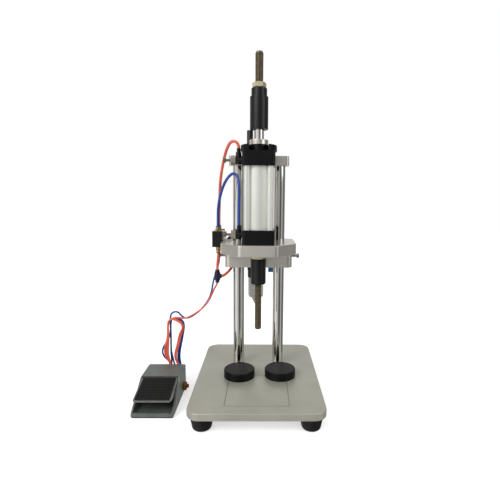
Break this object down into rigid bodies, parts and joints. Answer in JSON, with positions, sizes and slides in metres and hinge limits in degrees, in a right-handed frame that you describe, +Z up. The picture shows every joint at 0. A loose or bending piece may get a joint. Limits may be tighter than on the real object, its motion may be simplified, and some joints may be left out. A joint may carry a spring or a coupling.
{
  "type": "pneumatic capping machine",
  "caption": "Bench-top pneumatic capping press: through-rod air cylinder on a sliding head over a base plate with swinging bottle locators, worked by a foot pedal valve.",
  "frame": {"origin": "the ram's axis at the base plate's top face, where the bottle stands", "axes": "+Z up along the ram, +X to the user's right, +Y away from the user"},
  "size_m": [0.3739, 0.337, 0.707],
  "materials": {
    "base_paint": "satin grey paint",
    "black_rubber": "matte",
    "chrome_bar": "hard chrome, ground",
    "plate_metal": "fine milled, clear anodised",
    "barrel_metal": "extruded, satin anodised",
    "black_metal": "black satin",
    "oxide_steel": "dark oxide, oiled",
    "bright_steel": "zinc plated",
    "yellow_zinc": "yellow zinc plated",
    "brass_parts": "nickel-free brass",
    "black_plastic": "moulded",
    "blue_plastic": "moulded",
    "orange_hose": "polyurethane hose",
    "blue_hose": "polyurethane hose",
    "bowl_plastic": "clear moulded bowl",
    "cast_grey": "textured grey paint on a casting",
    "bronze": "sintered bronze",
    "piston_metal": "machined"
  },
  "bodies": {
    "stand": {"base_plate": "base_paint", "rubber_feet": "black_rubber", "frame_screws": "bright_steel", "column_left": "chrome_bar", "column_right": "chrome_bar", "crossbar": "plate_metal", "pedal_casting": "cast_grey", "pedal_sole": "black_rubber", "pedal_pin": "bright_steel", "pedal_fittings": "brass_parts", "pedal_spring": "bright_steel", "hose_hank": "blue_hose", "pilot_hose_orange": "orange_hose", "pilot_hose_blue": "blue_hose"},
    "locator_left": {"locator_left": "black_rubber"},
    "locator_right": {"locator_right": "black_rubber"},
    "head": {"clamp_bar": "plate_metal", "upper_plate": "plate_metal", "head_screws": "oxide_steel", "lower_cap": "black_metal", "barrel": "barrel_metal", "upper_cap": "black_metal", "tie_rods": "bright_steel", "rod_bushes": "bronze", "cylinder_seals": "black_rubber", "end_disc": "black_metal", "guide_post": "chrome_bar", "bumper_ring": "bright_steel", "flow_controls": "black_plastic", "control_nuts": "brass_parts", "valve_body": "barrel_metal", "valve_caps": "black_plastic", "push_fittings": "brass_parts", "inlet_elbow": "blue_plastic", "head_brackets": "bright_steel", "filter_body": "black_plastic", "filter_bowl": "bowl_plastic", "drain_valve": "brass_parts", "tee_piece": "black_plastic", "feed_hose": "blue_hose", "return_hose": "orange_hose", "inlet_hose": "orange_hose", "supply_hose": "orange_hose"},
    "ram": {"piston_rod": "chrome_bar", "piston": "piston_metal", "piston_seals": "black_rubber", "lower_nut": "oxide_steel", "coupling": "black_metal", "tool_stud": "oxide_steel"},
    "stroke_sleeve": {"stroke_sleeve": "black_metal"},
    "stop_nut": {"stop_nut": "yellow_zinc"},
    "lock_screw_left": {"lock_screw_left": "bright_steel"},
    "lock_screw_right": {"lock_screw_right": "bright_steel"},
    "needle_upper": {"needle_upper": "brass_parts"},
    "needle_lower": {"needle_lower": "brass_parts"},
    "regulator_knob": {"regulator_knob": "black_plastic"},
    "valve_spool": {"valve_spool": "bright_steel"},
    "pedal": {"pedal_plate": "cast_grey", "pedal_pad": "black_rubber"},
    "pedal_spool": {"pedal_spool": "bright_steel"}
  },
  "joints": [
    {"name": "head_slide", "type": "slide", "parent": "stand", "child": "head", "axis": [0, 0, 1], "range_m": [-0.06, 0.05], "deforming": ["pilot_hose_orange", "pilot_hose_blue"]},
    {"name": "locator_left_swing", "type": "hinge", "parent": "stand", "child": "locator_left", "pos_m": [-0.0375, 0.0275, 0.0085], "axis": [0, 0, 1], "range_deg": [-69.9, 13.1]},
    {"name": "locator_right_swing", "type": "hinge", "parent": "stand", "child": "locator_right", "pos_m": [0.0375, 0.0275, 0.0085], "axis": [0, 0, 1], "range_deg": [-34.9, 48.1]},
    {"name": "ram_stroke", "type": "slide", "parent": "head", "child": "ram", "axis": [0, 0, -1], "range_m": [0, 0.0197]},
    {"name": "stroke_setting", "type": "slide", "parent": "ram", "child": "stroke_sleeve", "axis": [0, 0, 1], "range_m": [0, 0.03]},
    {"name": "stop_nut_slide", "type": "slide", "parent": "ram", "child": "stop_nut", "axis": [0, 0, 1], "range_m": [0, 0.03]},
    {"name": "lock_left_turn", "type": "hinge", "parent": "head", "child": "lock_screw_left", "pos_m": [-0.08, 0.0695, 0.25422], "axis": [-1, 0, 0], "range_deg": [0, 360]},
    {"name": "lock_right_turn", "type": "hinge", "parent": "head", "child": "lock_screw_right", "pos_m": [0.08, 0.0695, 0.25422], "axis": [1, 0, 0], "range_deg": [0, 360]},
    {"name": "needle_upper_turn", "type": "hinge", "parent": "head", "child": "needle_upper", "pos_m": [-0.06, 0, 0.457], "axis": [-1, 0, 0], "range_deg": [-360, 360]},
    {"name": "needle_lower_turn", "type": "hinge", "parent": "head", "child": "needle_lower", "pos_m": [-0.06, 0, 0.3075], "axis": [-1, 0, 0], "range_deg": [-360, 360]},
    {"name": "regulator_turn", "type": "hinge", "parent": "head", "child": "regulator_knob", "pos_m": [-0.007, 0.1255, 0.265], "axis": [0, 0, 1], "range_deg": [-360, 360]},
    {"name": "valve_shift", "type": "slide", "parent": "head", "child": "valve_spool", "axis": [0, 1, 0], "range_m": [0, 0.004]},
    {"name": "pedal_press", "type": "hinge", "parent": "stand", "child": "pedal", "pos_m": [-0.2035, -0.011, -0.004], "axis": [1, 0, 0], "range_deg": [0, 12], "stiffness_Nm_per_rad": 3, "springref_deg": -11.46, "deforming": ["pedal_spring"]},
    {"name": "pedal_spool_push", "type": "slide", "parent": "stand", "child": "pedal_spool", "axis": [0, 1, 0], "range_m": [0, 0.00495]}
  ],
  "couplings": [
    {"joint": "stop_nut_slide", "follows": "stroke_setting", "ratio": 1},
    {"joint": "pedal_spool_push", "follows": "pedal_press", "m_per_rad": 0.0235}
  ]
}
